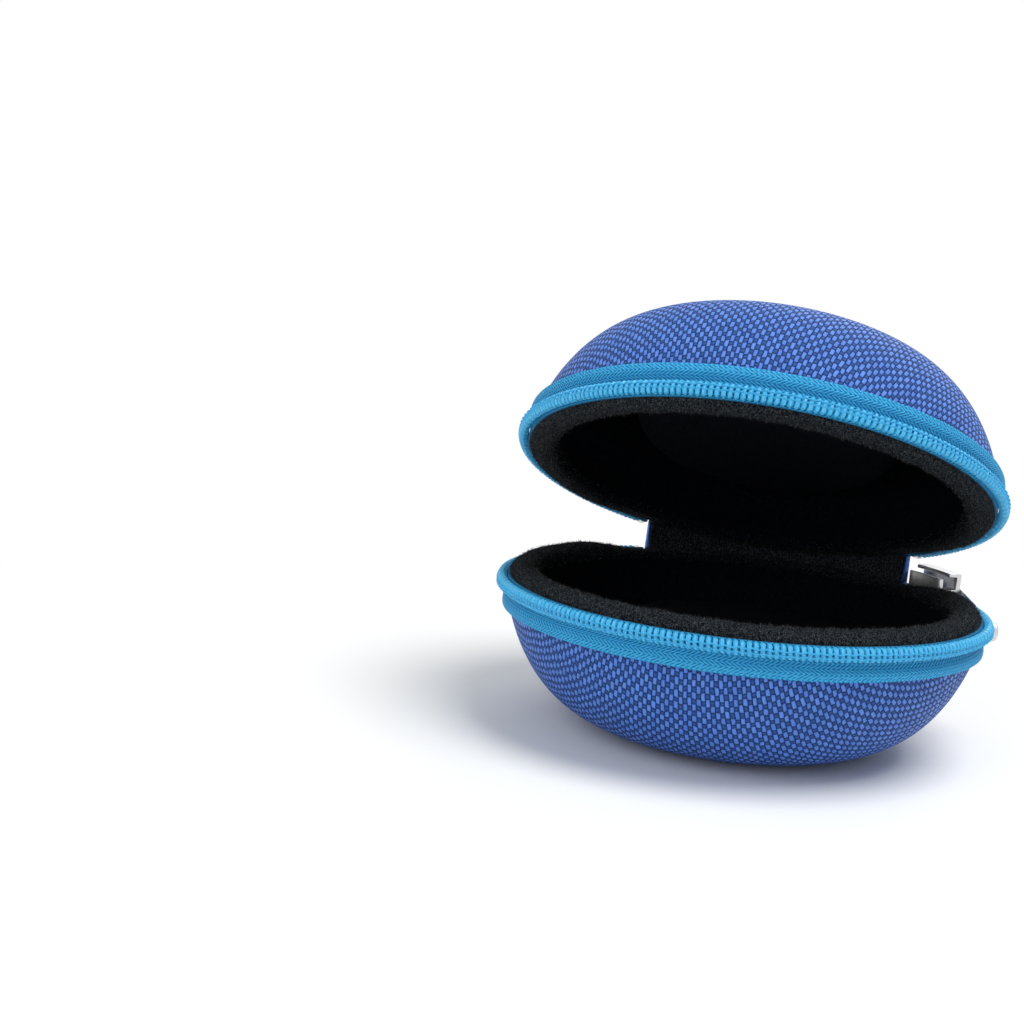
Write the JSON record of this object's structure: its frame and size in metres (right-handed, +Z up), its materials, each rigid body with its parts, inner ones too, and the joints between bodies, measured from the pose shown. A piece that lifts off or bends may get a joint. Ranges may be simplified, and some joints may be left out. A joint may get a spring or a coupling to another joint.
{
  "type": "watch travel case",
  "caption": "Round zipped travel case for a watch: two domed padded halves joined by a cloth hinge, with a coil zip, a slider and a long pull tab.",
  "frame": {"origin": "centre of the flat foot under the base", "axes": "+Z up, front towards -Y, cloth hinge towards +Y, mouth plane parallel to XY"},
  "size_m": [0.1088, 0.1094, 0.0953],
  "materials": {
    "nylon_cover": "woven nylon, satin",
    "shell_foam": "moulded foam, matt",
    "fleece": "brushed fleece, matt",
    "zip_tape": "herringbone tape, matt",
    "zip_coil": "nylon coil, satin",
    "thread": "polyester thread",
    "zip_metal": "plated, satin"
  },
  "bodies": {
    "base": {"base_cover": "nylon_cover", "base_foam": "shell_foam", "base_lining": "fleece", "base_cushion": "shell_foam", "base_tape": "zip_tape", "base_coil": "zip_coil", "base_coil_thread": "thread", "base_seam_thread": "thread", "base_zip_stops": "zip_metal", "hinge_panel": "nylon_cover", "hinge_lining": "fleece"},
    "lid": {"lid_cover": "nylon_cover", "lid_foam": "shell_foam", "lid_lining": "fleece", "lid_cushion": "shell_foam", "lid_tape": "zip_tape", "lid_coil": "zip_coil", "lid_coil_thread": "thread", "lid_seam_thread": "thread", "lid_zip_stops": "zip_metal"},
    "slider": {"slider_body": "zip_metal", "slider_crown": "zip_metal"},
    "pull": {"pull_tab": "zip_metal"}
  },
  "joints": [
    {"name": "lid_hinge", "type": "hinge", "parent": "base", "child": "lid", "pos_m": [0, 0.0523, 0.0325], "axis": [-1, 0, 0], "range_deg": [-24.5, 155.5], "deforming": ["hinge_panel", "hinge_lining"]},
    {"name": "zip_travel", "type": "hinge", "parent": "base", "child": "slider", "pos_m": [0, 0, 0.0325], "axis": [0, 0, -1], "range_deg": [0, 264.5]},
    {"name": "pull_swing", "type": "hinge", "parent": "slider", "child": "pull", "pos_m": [0.04248, 0.03861, 0.0325], "axis": [0.1305, -0.2235, 0.9659], "range_deg": [0, 190]}
  ]
}
